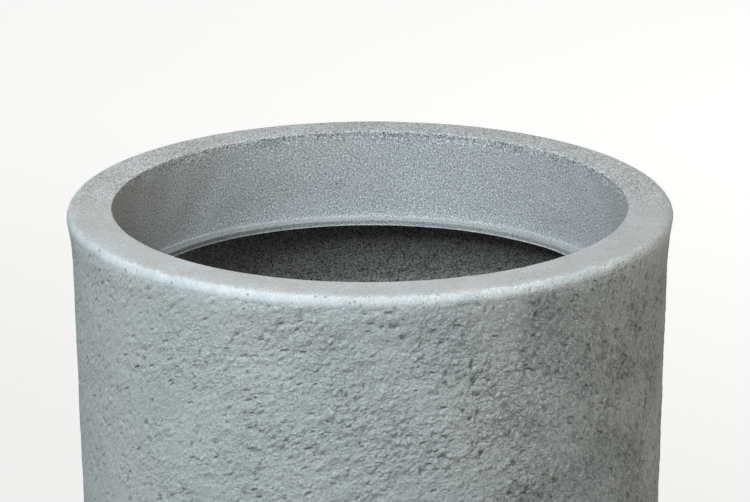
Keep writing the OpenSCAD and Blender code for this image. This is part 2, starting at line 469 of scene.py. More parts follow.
def ring_face(outer_ids, inner_ids, verts):
    """The slightly uneven face of the foot ring, between two loops of vertices, and the pads' pockets in it.
    Returns the new vertices, the triangles and the quads."""
    rng = np.random.default_rng(77)
    deepest = 0.25
    known = np.concatenate([outer_ids, inner_ids])
    points = [tuple(p) for p in verts[known, :2]]
    edges = loop_edges(0, len(outer_ids)) + loop_edges(len(outer_ids), len(inner_ids))
    for pad in PADS:
        edges += loop_edges(len(points), POCKET_COLS)
        points += pocket_circle(pad)
    fill_from = len(points)
    points += ring_places(rng)
    flat = geometry.delaunay_2d_cdt([Vector(p) for p in points], edges, [], 0, 1e-6)
    spots, _, triangles, origins = flat[:4]

    base, extra, ids = len(verts), [], []
    for spot, origin in zip(spots, origins):
        first = origin[0] if origin else -1
        if 0 <= first < len(known):
            ids.append(known[first])
        else:
            dip = 0.0 if 0 <= first < fill_from else deepest * rng.random() ** 2
            ids.append(base + len(extra))
            extra.append((spot.x, spot.y, RING_Z + dip))
    faces = []
    for triangle in triangles:
        x = sum(spots[k].x for k in triangle) / 3
        y = sum(spots[k].y for k in triangle) / 3
        if RECESS_R - 0.5 < math.hypot(x, y) < RING_R + 0.5 and not in_pocket(x, y, -0.01):
            faces.append([ids[k] for k in reversed(triangle)])

    where = {first: ids[k] for k, origin in enumerate(origins) for first in origin}
    quads = []
    for pad in PADS:
        first = len(known) + (pad - 1) * POCKET_COLS
        deep = base + len(extra)
        middle = deep + POCKET_COLS
        extra += [(x, y, POCKET_TOP) for x, y in pocket_circle(pad)]
        extra.append((*pad_centre(pad), POCKET_TOP))
        for k, after in loop_edges(0, POCKET_COLS):
            quads.append([where[first + k], deep + k, deep + after, where[first + after]])
            faces.append([middle, deep + after, deep + k])
    return np.array(extra), np.array(faces), np.array(quads)


def shell_map(out_line, in_line, out_grid, in_grid, others, verts):
    """Map of the shell: the outside in two half turns, and beside it, smaller, the inner wall in two half
    turns, a disc for the floor and one for the underside."""
    border = 4.0
    _, j, i = out_grid
    outside, strip = unroll(j, i, lengths(out_line), OUT_COLS, 2, OUT_COL)
    outside += border
    outside[..., 1] += (strip * (lengths(out_line)[-1] + 6.0))[:, None]

    side = OUT_COLS // 2 * OUT_COL + 14.0
    half_turn = IN_COLS // 2 * IN_COL * IN_SCALE + 5.0
    quads, j, i = in_grid
    inside, strip = unroll(j, i, lengths(in_line), IN_COLS, 2, IN_COL)
    inside = inside[..., ::-1] * IN_SCALE + np.array([side, border])
    inside[..., 1] += (strip * half_turn)[:, None]

    radius = TOP_R * DISC_SCALE
    floor = np.array([side + radius + 2.0, 2 * half_turn + 8.0 + radius])
    under = floor + np.array([0.0, 2 * radius + 4.0])

    def disc(faces, middle, way):
        """Faces laid flat round a middle, as seen from above, or from below where way is -1."""
        return verts[faces][..., :2] * DISC_SCALE * np.array([way, 1]) + middle

    floor_row = np.argmax(in_line[:, 1] < CORNER_Z - FLOOR_ROUND + 0.05)
    drain_row = np.argmax(in_line[:, 0] < HOLE_R + 0.01)
    row = j[:, None, None]
    discs = np.where(row < drain_row, disc(quads, floor, 1), disc(quads, under, -1))
    inside = np.where(row < floor_row, inside, discs)

    seam, triangles, pocket_quads = others
    seam_corner = np.array([side + 0.25 * MAP_MM, 0.97 * MAP_MM])
    parts = [outside, inside, verts[seam][..., :2] * 0.02 + seam_corner]
    parts += [disc(triangles, under, -1), disc(pocket_quads, under, -1)]
    return np.concatenate([part.reshape(-1, 2) for part in parts]) / MAP_MM


def build_shell():
    """The cast shell. Its outside has twice the columns of its inside."""
    out_line, in_line = shell_outside(), shell_inside()
    out_normals = profile_normals(out_line)
    out_height, out_values = outside_relief(out_line, out_normals)
    in_height, in_values = inside_relief(in_line)
    outer = turn(out_line, out_normals, out_height, OUT_COLS)
    inner = turn(in_line, profile_normals(in_line), in_height, IN_COLS)
    verts = np.concatenate([outer, inner])

    out_grid = grid_quads(len(out_line), OUT_COLS)
    in_grid = grid_quads(len(in_line), IN_COLS, len(outer))
    k = np.arange(IN_COLS)
    last = (len(out_line) - 1) * OUT_COLS
    seam = np.c_[last + 2 * k, last + 2 * k + 1, last + (2 * k + 2) % OUT_COLS,
                 len(outer) + (k + 1) % IN_COLS, len(outer) + k]
    extra, triangles, pocket_quads = ring_face(np.arange(OUT_COLS), len(verts) - IN_COLS + k, verts)
    verts = np.concatenate([verts, extra])
    others = [seam, triangles, pocket_quads]
    obj = make_mesh("shell_cast", verts, [out_grid[0], in_grid[0], *others])

    zones = ((out_values, len(outer)), (in_values, len(inner)), ({"crest": 0.5, "rough": 0.4}, len(extra)))
    for name in ("wall", "band", "top", "arris", "inside", "pit_shade", "crest", "rough"):
        parts = [np.broadcast_to(np.ravel(values.get(name, 0.0)), count) for values, count in zones]
        set_value(obj, name, np.concatenate(parts))
    set_uv(obj, shell_map(out_line, in_line, out_grid, in_grid, others, verts))
    return obj


# Collar

def collar_line():
    """Profile from the collar's top edge down its face, round the trimmed lip and up the back. A thin flash
    stands out at the lip's lower edge."""
    flash, lip_round = 0.35, 0.5
    return chain(
        [(ARRIS_R, SEAT_Z)],
        run((ARRIS_R, SEAT_Z - EDGE_ROW), (FACE_R, LEDGE_Z + LEDGE_ROUND), 1.15),
        arc(FACE_R - LEDGE_ROUND, LEDGE_Z + LEDGE_ROUND, LEDGE_ROUND, 0, -90, 5),
        run((FACE_R - LEDGE_ROUND, LEDGE_Z), (LIP_R + lip_round, LEDGE_Z), 1.1),
        arc(LIP_R + lip_round, LEDGE_Z - lip_round, lip_round, 90, 180, 3),
        run((LIP_R, LEDGE_Z - lip_round), (LIP_R, FOOT_Z + 0.9), 0.65),
        [(LIP_R - flash, FOOT_Z + 0.45), (LIP_R - flash, FOOT_Z + 0.12), (LIP_R + 0.2, FOOT_Z)],
        run((LIP_R + 0.8, FOOT_Z), (FACE_R + COLLAR_T - COLLAR_ROUND, FOOT_Z), 2.0),
        arc(FACE_R + COLLAR_T - COLLAR_ROUND, FOOT_Z + COLLAR_ROUND, COLLAR_ROUND, -90, 0, 5),
        run((FACE_R + COLLAR_T, FOOT_Z + COLLAR_ROUND), (ARRIS_R + COLLAR_T, SEAT_Z), 6.0),
        run((ARRIS_R + COLLAR_T, SEAT_Z), (ARRIS_R + 0.8, SEAT_Z), 2.4),
    )


def collar_map(j, i, s, seen):
    """Map of the collar in four strips, each with the seen face, up to the length seen, and the back
    squeezed beside it."""
    strips, squeeze = 4, 0.2
    corners, strip = unroll(j, i, s, COLLAR_COLS, strips, COLLAR_COL)
    up = corners[..., 1]
    up = np.where(up <= seen, up, seen + (up - seen) * squeeze)
    tall = seen + (s[-1] - seen) * squeeze + 3.0
    uv = np.stack([corners[..., 0] + 3.0, up + 2.0 + strip[:, None] * tall], axis=-1)
    return uv / max(COLLAR_COLS // strips * COLLAR_COL + 6.0, strips * tall + 4.0)


def build_collar():
    """The collar: a granular face with small voids, most of them close below the rim, a ledge and a lip."""
    line = collar_line()
    s = lengths(np.r_[line, line[:1]])
    relief = Relief(s, 3, COLLAR_COLS, COLLAR_STEP, COLLAR_COL)

    def field(seed, wave, spread=0.35):
        """Noise for the profile's points, without the closing one."""
        return relief.field(seed, wave, spread)[:-1]

    r, z = line[:, :1], line[:, 1:]
    row = np.arange(len(line))[:, None]
    back_row = int(np.argmax((r > LIP_R + 0.5) & (row > np.argmin(r))))
    front = (row < back_row) * np.ones((1, COLLAR_COLS))
    lip = (np.abs(r - LIP_R) < 0.45) * front
    edge = smooth(z, SEAT_Z - 9.0, SEAT_Z + 0.5) * front
    ledge = smooth(-z, -LEDGE_Z - 1.2, -LEDGE_Z - 0.2) * (r > LIP_R + 0.3) * front
    flash = smooth(-z, -FOOT_Z - 0.95, -FOOT_Z - 0.35) * front
    swell, lump, grit, fine = field(31, 50), field(32, 14), field(33, 5.0), field(34, 3.0)
    voids = smooth(field(35, 3.6, 0.4) - 2.7 + 0.6 * edge, 0.0, 0.4) * front * (1 - lip)
    height = front * (0.16 * swell + 0.04 * lump + 0.008 * grit + 0.012 * fine) - 0.75 * voids
    height *= np.where(lip > 0, 0.8, 1.0)
    height = np.minimum(height, 0.3) * smooth(-z, -SEAT_Z, -SEAT_Z + 2.0)

    # A known fault: heights count into the body here and the faces look into it, so the voids stand out
    verts = turn(line, -profile_normals(line, closed=True), height, COLLAR_COLS)
    quads, j, i = grid_quads(len(line), COLLAR_COLS, closed=True)
    obj = make_mesh("collar_cast", verts, [quads[:, ::-1]])
    # Painted shade: the material darkens the voids
    values = {"pit_shade": voids, "lip": lip, "edge": edge, "ledge": ledge, "flash": flash,
              "crest": np.clip(0.5 + 0.2 * grit, 0, 1)}
    for name, value in values.items():
        set_value(obj, name, value)
    set_uv(obj, collar_map(j, i, s, s[back_row])[:, ::-1].reshape(-1, 2))
    return obj


# Small pieces

def turned_piece(name, line, cols, centre=(0.0, 0.0), closed=True):
    """A turned solid. A profile that isn't closed is joined to the axis at both ends."""
    verts = turn(line, profile_normals(line, closed), np.zeros((len(line), cols)), cols)
    groups = [grid_quads(len(line), cols, closed=closed)[0]]
    if not closed:
        k = np.arange(cols)
        after = (k + 1) % cols
        end, low, high = (len(line) - 1) * cols, len(verts), len(verts) + 1
        verts = np.concatenate([verts, [[0, 0, line[0, 1]], [0, 0, line[-1, 1]]]])
        groups += [np.c_[after, k, np.full(cols, low)], np.c_[end + k, end + after, np.full(cols, high)]]
    return make_mesh(name, verts + np.array([*centre, 0.0]), groups)


def build_sleeve():
    """The drain sleeve: a tube with a drip edge and a flange that has a fine groove round it."""
    bottom, under_flange = UNDER_Z - DRIP_H, DRAIN_Z - FLANGE_T
    line = chain(
        arc(BORE_R + 0.4, bottom + 0.4, 0.4, 180, 270, 3),
        arc(TUBE_R - 0.7, bottom + 0.7, 0.7, -90, 0, 4),
        run((TUBE_R, bottom + 0.7), (TUBE_R, under_flange - 0.4), 2.0),
        arc(TUBE_R + 0.4, under_flange - 0.4, 0.4, 180, 90, 2),
        run((TUBE_R + 0.5, under_flange), (FLANGE_R - 0.3, under_flange), 2.0),
        arc(FLANGE_R - 0.3, under_flange + 0.3, 0.3, -90, 0, 2),
        arc(FLANGE_R - FLANGE_EDGE, DRAIN_Z - FLANGE_EDGE, FLANGE_EDGE, 0, 90, 5),
        run((FLANGE_R - FLANGE_EDGE, DRAIN_Z), (FLANGE_R - 2.0, DRAIN_Z), 0.5),
        [(FLANGE_R - 2.2, DRAIN_Z - 0.25), (FLANGE_R - 2.9, DRAIN_Z - 0.25), (FLANGE_R - 3.1, DRAIN_Z)],
        run((FLANGE_R - 3.2, DRAIN_Z), (BORE_R + FLANGE_EDGE + 0.2, DRAIN_Z), 1.0),
        [(BORE_R + FLANGE_EDGE, DRAIN_Z), (BORE_R, DRAIN_Z - FLANGE_EDGE)],
        run((BORE_R, DRAIN_Z - FLANGE_EDGE - 0.2), (BORE_R, bottom + 0.6), 1.5),
    )
    return turned_piece("sleeve_moulded", line, SMALL_COLS)


def shank_at(depth):
    """Radius of the plug's shank at a depth below its head."""
    return BORE_R - PLUG_GAP - depth * math.tan(PLUG_TAPER)


def rib_points(middle):
    """Points of one sealing rib, whose crest is at a depth, from its lower edge to its upper one."""
    t = np.linspace(-1, 1, 9)
    depth = middle - t * RIB_H / 2
    shank = shank_at(depth)
    return np.c_[shank + (shank_at(0) - shank) * np.sqrt(np.clip(1 - t ** 2, 0, 1)), DRAIN_Z - depth]


def plug_line(head_z):
    """Profile of the plug from the axis below, up its ribbed shank, round the head and back to the axis."""
    head_r = BORE_R + PLUG_OVER
    head_round = PLUG_HEAD_T / 3
    end_r, end_z = shank_at(PLUG_LEN), DRAIN_Z - PLUG_LEN
    rib_step = PLUG_LEN / (PLUG_RIBS + 1)
    return chain(
        [(1.0, end_z)],
        run((3.0, end_z), (end_r - 0.8, end_z), 2.0),
        arc(end_r - 0.8, end_z + 0.8, 0.8, -90, 0, 3),
        *[rib_points(n * rib_step) for n in range(PLUG_RIBS, 0, -1)],
        arc(shank_at(0.5) + 0.3, DRAIN_Z - 0.3, 0.3, 180, 90, 2),
        run((shank_at(0) + 0.8, DRAIN_Z), (head_r - 0.4, DRAIN_Z), 1.5),
        arc(head_r - 0.4, DRAIN_Z + 0.4, 0.4, -90, 0, 3),
        arc(head_r - head_round, head_z - head_round, head_round, 0, 90, 6),
        run((head_r - head_round, head_z), (head_r - 3.6, head_z), 0.8),
        [(head_r - 3.8, head_z - 0.35), (head_r - 4.8, head_z - 0.35), (head_r - 5.0, head_z)],
        run((head_r - 5.2, head_z), (1.0, head_z), 1.6),
    )


def build_grip(head_z):
    """The grip: a fin with a round top and soft edges, whose foot stands inside the head."""
    low, side_rows, edge_round = head_z - 1.0, 8, 1.6
    xs = np.linspace(-GRIP_W / 2, GRIP_W / 2, 33)
    crown = np.c_[xs, head_z + GRIP_H - GRIP_W + np.sqrt(GRIP_W ** 2 - xs ** 2)]
    side = np.c_[np.full(side_rows, -GRIP_W / 2), np.linspace(low, crown[0, 1] - 0.6, side_rows)]
    outline = np.concatenate([side, crown, side[::-1] * np.array([-1, 1])])
    inward = np.array([0.0, head_z + GRIP_H * 0.45]) - outline
    inward /= np.hypot(*inward.T)[:, None]
    inward *= outline[:, 1:] > low + 0.1
    rings = []
    for t in np.radians(np.linspace(-90, 90, 13)):
        ring = outline + inward * edge_round * (1 - math.cos(t) ** 0.5)
        rings.append(np.c_[ring[:, 0], np.full(len(ring), GRIP_T / 2 * math.sin(t)), ring[:, 1]])
    verts = np.concatenate(rings)
    quads = grid_quads(len(rings), len(outline))[0]
    k = np.arange(len(outline))
    return make_mesh("plug_grip", verts, [quads, np.array([k, (len(verts) - 1) - k])])


def build_plug():
    """The drain plug: its turned body and its grip, joined into one piece."""
    head_z = DRAIN_Z + PLUG_HEAD_T
    body = turned_piece("plug_disc", plug_line(head_z), SMALL_COLS, closed=False)
    grip = build_grip(head_z)
    bpy.ops.object.select_all(action="DESELECT")
    grip.select_set(True)
    bpy.context.view_layer.objects.active = grip
    bpy.ops.object.mode_set(mode="EDIT")
    bpy.ops.mesh.select_all(action="SELECT")
    bpy.ops.mesh.normals_make_consistent(inside=False)
    bpy.ops.object.mode_set(mode="OBJECT")
    body.select_set(True)
    bpy.context.view_layer.objects.active = body
    bpy.ops.object.join()
    body.name = "plug_moulded"
    return body


def build_foot(number):
    """A pad, with ring grooves in its underside."""
    starts = np.arange(3.4, FOOT_R - FOOT_ROUND - 2.2, 1.8)
    rings = [[(r + 0.6, 0.0), (r + 0.8, 0.3), (r + 1.3, 0.3), (r + 1.5, 0.0)] for r in starts]
    line = chain(
        [(0.6, 0.35), (2.6, 0.35), (3.0, 0.0)],
        *rings,
        arc(FOOT_R - FOOT_ROUND, FOOT_ROUND, FOOT_ROUND, -90, 0, 5),
        run((FOOT_R, FOOT_ROUND), (FOOT_R, POCKET_TOP - 0.3), 1.2),
        arc(FOOT_R - 0.3, POCKET_TOP - 0.3, 0.3, 0, 90, 2),
        run((FOOT_R - 0.3, POCKET_TOP), (0.6, POCKET_TOP), 3.0),
    )
    return turned_piece(f"pad_moulded_{number}", line, PAD_COLS, pad_centre(number), closed=False)


# Materials, in metres

class Nodes:
    """Short ways to build a node tree. A number or a colour can stand wherever a socket can."""

    def __init__(self, tree):
        self.tree = tree

    def new(self, kind, **settings):
        """A new node, with its settings."""
        node = self.tree.nodes.new("ShaderNode" + kind)
        for name, value in settings.items():
            setattr(node, name, value)
        return node

    def link(self, source, target):
        """Links a socket to another, or sets a value on it."""
        if hasattr(source, "is_linked"):
            self.tree.links.new(source, target)
        else:
            target.default_value = source

    def math(self, kind, *values, clamp=False):
        """The result of one of Blender's math nodes."""
        node = self.new("Math", operation=kind, use_clamp=clamp)
        for value, socket in zip(values, node.inputs):
            self.link(value, socket)
        return node.outputs[0]

    def add(self, a, b, clamp=False):
        return self.math("ADD", a, b, clamp=clamp)

    def minus(self, a, b):
        return self.math("SUBTRACT", a, b)

    def times(self, first, *others):
        """The product of two or more numbers."""
        for other in others:
            first = self.math("MULTIPLY", first, other)
        return first

    def times_add(self, a, b, c):
        """The product of a and b, plus c."""
        return self.math("MULTIPLY_ADD", a, b, c)

    def ramp(self, value, low, high, to_low=0.0, to_high=1.0, linear=False):
        """A step from to_low, where the value is low, to to_high, where it is high: smooth unless linear."""
        node = self.new("MapRange", interpolation_type="LINEAR" if linear else "SMOOTHSTEP")
        names = ("Value", "From Min", "From Max", "To Min", "To Max")
        for name, v in zip(names, (value, low, high, to_low, to_high)):
            self.link(v, node.inputs[name])
        return node.outputs["Result"]

    def split(self, vector):
        """The three parts of a vector or colour."""
        node = self.new("SeparateXYZ")
        self.link(vector, node.inputs[0])
        return node.outputs

    def join(self, *parts):
        """A vector of two or three parts."""
        node = self.new("CombineXYZ")
        for part, socket in zip(parts, node.inputs):
            self.link(part, socket)
        return node.outputs[0]

    def vector(self, kind, a, b):
        """The result of one of Blender's vector math nodes."""
        node = self.new("VectorMath", operation=kind)
        self.link(a, node.inputs[0])
        self.link(b, node.inputs[1])
        return node.outputs[0]

    def scale(self, colour, factor):
        """A colour or vector times a number."""
        node = self.new("VectorMath", operation="SCALE")
        self.link(colour, node.inputs[0])
        self.link(factor, node.inputs["Scale"])
        return node.outputs[0]

    def mix(self, factor, a, b):
        """Colour a, at factor 0, mixed with colour b, at factor 1."""
        node = self.new("Mix", data_type="RGBA", blend_type="MIX")
        self.link(factor, node.inputs[0])
        for value, socket in ((a, node.inputs[6]), (b, node.inputs[7])):
            self.link((*value, 1.0) if isinstance(value, tuple) else value, socket)
        return node.outputs[2]

    def show(self, lit, shown, output):
        """Ends the tree. The camera, reflections and glass see one shader, and all other light the other."""
        rays = self.new("LightPath").outputs
        seen = self.math("MAXIMUM", rays["Is Camera Ray"], rays["Is Glossy Ray"])
        seen = self.math("MAXIMUM", seen, rays["Is Transmission Ray"])
        mix = self.new("MixShader")
        for source, socket in zip((seen, lit.outputs[0], shown.outputs[0]), mix.inputs):
            self.link(source, socket)
        self.link(mix.outputs[0], self.tree.nodes[output].inputs["Surface"])


class Material(Nodes):
    """A material with its own node tree, and the textures that it is made of."""

    def __init__(self, name):
        self.material = bpy.data.materials.new(name)
        self.material.use_nodes = True
        super().__init__(self.material.node_tree)
        self.shader = self.tree.nodes["Principled BSDF"]
        self.place = self.new("TexCoord").outputs["Object"]

    def value(self, name):
        """The number that a mesh stores under a name."""
        return self.new("Attribute", attribute_name=name).outputs["Fac"]

    def unrolled(self, radius):
        """A turned surface laid flat, with its seam at the front. A level part's radius counts as height."""
        x, y, up = self.split(self.place)
        out = self.math("SQRT", self.times_add(x, x, self.times(y, y)))
        return self.join(self.times(self.math("ARCTAN2", x, y), radius * MM), self.add(out, up))

    def leaning(self):
        """A place with its height counted from the sheets that the wall's lumps lie along."""
        x, y, up = self.split(self.place)
        up = self.times_add(x, -SLANT, self.times_add(y, LEAN, up))
        return self.join(x, y, self.times(up, STRETCH))

    def waver(self, place, scale, reach):
        """A place moved to and fro by noise."""
        node = self.new("TexNoise")
        node.inputs["Scale"].default_value = scale
        self.link(place, node.inputs["Vector"])
        away = self.vector("SUBTRACT", node.outputs["Color"], (0.5, 0.5, 0.5))
        return self.vector("ADD", place, self.scale(away, reach))

    def noise(self, scale, detail, rough, shift=(0, 0, 0), place=None):
        """Noise about 0.5. Another shift gives other noise."""
        node = self.new("TexNoise")
        for name, value in (("Scale", scale), ("Detail", detail), ("Roughness", rough)):
            node.inputs[name].default_value = value
        self.link(self.vector("ADD", place or self.place, shift), node.inputs["Vector"])
        return node.outputs["Fac"]

    def swing(self, *settings):
        """The same noise about zero."""
        return self.minus(self.noise(*settings), 0.5)

    def cells(self, scale, place=None, random=1.0, flat=False):
        """For each grain a random number, the distance from its middle, another number and its middle."""
        node = self.new("TexVoronoi", voronoi_dimensions="2D" if flat else "3D")
        node.inputs["Scale"].default_value = scale
        node.inputs["Randomness"].default_value = random
        self.link(place or self.place, node.inputs["Vector"])
        pick, size, _ = self.split(node.outputs["Color"])
        return pick, node.outputs["Distance"], size, node.outputs["Position"]

    def grains(self, scale, shade, swell, place=None, random=1.0):
        """Tone of a granular surface, about 1, with grains that are paler in the middle. And their lift."""
        pick, distance, lift, _ = self.cells(scale, place, random, flat=place is not None)
        uneven = self.times(self.minus(pick, 0.5), shade)
        return self.add(self.times_add(self.times_add(distance, -1.5, 0.66), swell, uneven), 1.0), lift

    def finish(self, colour, roughness, specular, height):
        """Sets the shader's colour, roughness, specular level and relief, whose height is in metres."""
        self.link(colour, self.shader.inputs["Base Color"])
        self.link(roughness, self.shader.inputs["Roughness"])
        self.shader.inputs["Specular IOR Level"].default_value = specular
        bump = self.new("Bump")
        bump.inputs["Strength"].default_value = 1.0
        bump.inputs["Distance"].default_value = 1.0
        self.link(height, bump.inputs["Height"])
        self.link(bump.outputs[0], self.shader.inputs["Normal"])
        return self.material


# Mean height of the wall's fine relief
RELIEF_MEAN = 0.0029


def hollows(m, place, scale, small, large):
    """Scattered hollows with a steep edge above and a long slope below: their depth in metres, and the
    painted shade under that edge."""
    _, _, size, middle = m.cells(scale, place, 0.9)
    x, y, z = m.split(m.vector("SUBTRACT", place, middle))
    wide = m.ramp(size, 0.0, 1.0, small, large, linear=True)
    off = m.math("SQRT", m.times_add(x, x, m.times(y, y)))
    there = m.ramp(m.math("DIVIDE", off, wide), 0.35, 1.0, 1.0, 0.0)
    up = m.math("DIVIDE", z, wide)
    depth = m.times(m.ramp(up, -1.2, 0.15, linear=True), m.ramp(up, 0.10, 0.70, 1.0, 0.0), there)
    shade = m.times(m.ramp(up, -0.15, 0.30), m.ramp(up, 0.40, 0.85, 1.0, 0.0), there)
    return m.times(depth, m.times(wide, 0.48)), shade


def knobs(m, place, scale, steep):
    """Height in metres of scattered round knobs of uneven size."""
    _, distance, size, _ = m.cells(scale, place)
    reach = m.ramp(size, 0.0, 1.0, 0.22, 0.66, linear=True)
    return m.times(m.ramp(distance, 0.0, reach, 1.0, 0.0), m.times(reach, steep / scale))


def wall_marks(m):
    """Height of the wall's fine relief in metres, about zero, and the painted shade in its hollows."""
    place = m.waver(m.leaning(), 200, 0.0020)
    bumps = m.noise(110, 3, 0.6, (0, 0, 7.7), place)
    hollow, shade = hollows(m, place, 96, 0.0010, 0.0036)
    height = m.times_add(bumps, 0.0055, knobs(m, place, 150, 0.44))
    height = m.minus(m.add(height, knobs(m, m.place, 330, 0.42)), hollow)
    return m.minus(height, RELIEF_MEAN), shade


def shell_colour(m, band, blotch):
    """The shell's colour by zone, before its tone."""
    x, _, z = m.split(m.place)
    cloud = m.noise(9, 2, 0.5, (3.1, 0, 0))
    mottle = m.noise(75, 3, 0.6, (5.1, 2.2, 0))
    on_wall = m.mix(m.ramp(cloud, 0.35, 0.65), (0.450, 0.498, 0.510), (0.485, 0.525, 0.530))
    on_band = m.mix(m.ramp(mottle, 0.36, 0.64), (0.560, 0.630, 0.665), (0.665, 0.705, 0.715))
    on_top = m.mix(m.ramp(blotch, 0.35, 0.68), (0.480, 0.488, 0.482), (0.520, 0.533, 0.537))
    # Painted highlight: the band is paler in front than at the sides, and its pale colour is partly its own
    # tone and partly a painted highlight. Painted light: the wall is pale close below the band, where it
    # faces a little downwards
    ends = m.ramp(m.math("ABSOLUTE", x), 0.150, 0.185, 1.0, 0.87)
    painted_light_below_band = m.times_add(m.ramp(z, 0.380, 0.391), 0.24, 1.0)
    colour = m.mix(band, m.scale(on_wall, painted_light_below_band), m.scale(on_band, ends))
    for zone, paint in (("top", on_top), ("arris", (0.50, 0.53, 0.54)), ("inside", (0.345, 0.342, 0.337))):
        colour = m.mix(m.value(zone), colour, paint)
    return colour


def grain_strength(m, band, facing):
    """How strongly the shell's grains show: most on the bare inner faces and the arris, and faintly on the
    smooth rim, where they are fainter in front, and on the band, where they are stronger to the right."""
    x, _, _ = m.split(m.place)
    strength = m.times(m.value("top"), m.times_add(facing, -0.58, 0.75))
    strength = m.add(strength, m.times_add(m.value("wall"), 0.14, 0.10))
    strength = m.times_add(band, m.ramp(x, -0.05, 0.12, 0.08, 0.28), strength)
    return m.times_add(m.value("arris"), 0.90, m.add(m.value("inside"), strength))


def shell_flecks(m, band):
    """Tone of a few dark flecks, which show most on the pale band, and of the black and white specks along
    the rim's bare inner edge."""
    pick, distance, _, _ = m.cells(330)
    fleck = m.times(m.ramp(pick, 0.90, 0.92), m.ramp(distance, 0.22, 0.42, 1.0, 0.0))
    fleck = m.times(fleck, m.times_add(band, 0.32, 0.12))
    pick, distance, _, _ = m.cells(620)
    speck = m.add(m.ramp(pick, 0.90, 0.92, 0.0, -0.80), m.ramp(pick, 0.22, 0.27, 0.22, 0.0))
    speck = m.times(speck, m.ramp(distance, 0.25, 0.48, 1.0, 0.0), m.value("arris"))
    return m.times(m.minus(1.0, fleck), m.add(1.0, speck))


def concrete_shell():
    """The shell's concrete: pitted on the wall, with painted shade in its pits and hollows, pale and smooth
    on the band and the rim, with a painted highlight on the band, bare inside.
    """
    m = Material("shell_concrete")
    wall, top, rough = m.value("wall"), m.value("top"), m.value("rough")
    # The border of the band is crisp and ragged in detail
    band = m.times_add(m.swing(420, 3, 0.7, (2.6, 7.1, 0)), 0.90, m.value("band"))
    band = m.ramp(band, 0.30, 0.70)
    blotch = m.noise(28, 3, 0.55)
    facing = m.ramp(m.split(m.place)[1], 0.05, -0.05)
    relief, crater_shade = wall_marks(m)
    strength = grain_strength(m, band, facing)
    grains, lift = m.grains(1300, strength, strength)
    grit = m.times_add(m.swing(560, 2, 0.6), m.times_add(wall, 0.42, 0.18), 1.0)
    # Painted light and shade: the top of the rim is a little paler than the rest at the back, and a little
    # darker in front
    rim_painted_light = m.times_add(m.times(top, facing), -0.07, m.times_add(top, 0.03, 1.0))
    tone = m.times(
        grains, grit,
        # Painted light and shade: a little lighter on the relief's crests, a little darker between them
        m.ramp(m.value("crest"), 0.0, 1.0, 0.96, 1.04, linear=True),
        # Painted shade in the pits
        m.ramp(m.value("pit_shade"), 0.0, 1.0, 1.0, 0.62),
        # Painted shade under the hollows' upper edges
        m.times_add(m.times(crater_shade, wall), -0.40, 1.0),
        rim_painted_light,
        m.ramp(blotch, 0.2, 0.8, 0.96, 1.04, linear=True),
        shell_flecks(m, band),
    )
    # Both reliefs swing about zero, so that a change of the roughness makes no slope of its own
    fine_height = m.times_add(m.math("MINIMUM", rough, 1.0), 0.00110, 0.00005)
    height = m.times_add(m.swing(620, 3, 0.8, (9.3, 0, 0)), fine_height, m.times(relief, rough))
    open_face = m.add(m.value("inside"), m.value("arris"), clamp=True)
    height = m.times_add(m.times(lift, open_face), 0.00012, height)
    colour = m.scale(shell_colour(m, band, blotch), tone)
    return m.finish(colour, m.ramp(band, 0, 1, 0.92, 0.72), 0.35, height)


def concrete_collar():
    """The collar's concrete: pale and dark grains, most uneven below the rim, and a darker ledge and lip,
    with painted shade on the ledge, in the voids and to both sides, and a pale flash as a painted highlight.
    """
    m = Material("collar_concrete")
    ledge, lip, flash = m.value("ledge"), m.value("lip"), m.value("flash")
    flat = m.unrolled(ARRIS_R)
    pale, lift = m.grains(800, 0.20, 0.62, flat, 0.85)
    dark, _ = m.grains(760, 0.0, -0.62, m.vector("ADD", flat, (0.37, 0.19, 0.0)), 0.85)
    colour = m.mix(m.ramp(m.noise(30, 3, 0.55), 0.35, 0.65), (0.518, 0.558, 0.578), (0.530, 0.570, 0.590))
    # The ledge is painted darker as painted shade, and the flash paler as a painted highlight
    paints = ((ledge, (0.41, 0.435, 0.445)), (lip, (0.39, 0.42, 0.43)), (flash, (0.66, 0.69, 0.70)))
    for zone, paint in paints:
        colour = m.mix(zone, colour, paint)
    # Painted shade: the ring is a little darker to both sides, and its ledge and lip more so to the left
    x, _, _ = m.split(m.place)
    low = m.add(m.add(ledge, lip), flash, clamp=True)
    left = m.times(m.ramp(x, -0.01, -0.13), m.times_add(low, 0.34, 0.15))
    right = m.times(m.ramp(x, 0.04, 0.14), 0.13)
    coarse, _, _, _ = m.cells(900)
    tone = m.times(
        pale, dark,
        m.minus(1.0, m.add(left, right)),
        m.times_add(m.minus(coarse, 0.5), m.times(m.value("edge"), 0.80), 1.0),
        # Painted light and shade: a little lighter on the crests, a little darker between them
        m.ramp(m.value("crest"), 0.0, 1.0, 0.98, 1.02, linear=True),
        # Painted shade in the voids
        m.ramp(m.value("pit_shade"), 0.0, 1.0, 1.0, 0.40),
    )
    height = m.times_add(m.noise(900, 2, 0.6), 0.00008, m.times(lift, 0.00008))
    return m.finish(m.scale(colour, tone), 0.93, 0.3, height)


def moulded(name, colour, dusty, rough, grain, depth):
    """Moulded plastic or rubber: a fine skin and a little dust, in patches and in fine flecks."""
    m = Material(name)
    dust = m.ramp(m.noise(60, 4, 0.6), 0.42, 0.72)
    fleck = m.ramp(m.noise(900, 2, 0.6, (1.7, 0, 0)), 0.58, 0.72)
    amount = m.add(m.times(dust, 0.55), m.times(fleck, 0.30), clamp=True)
    roughness = m.ramp(m.noise(140, 3, 0.5), 0.3, 0.7, rough - 0.08, rough + 0.08)
    return m.finish(m.mix(amount, colour, dusty), roughness, 0.5, m.times(m.noise(grain, 2, 0.5), depth))


# Stage, in metres

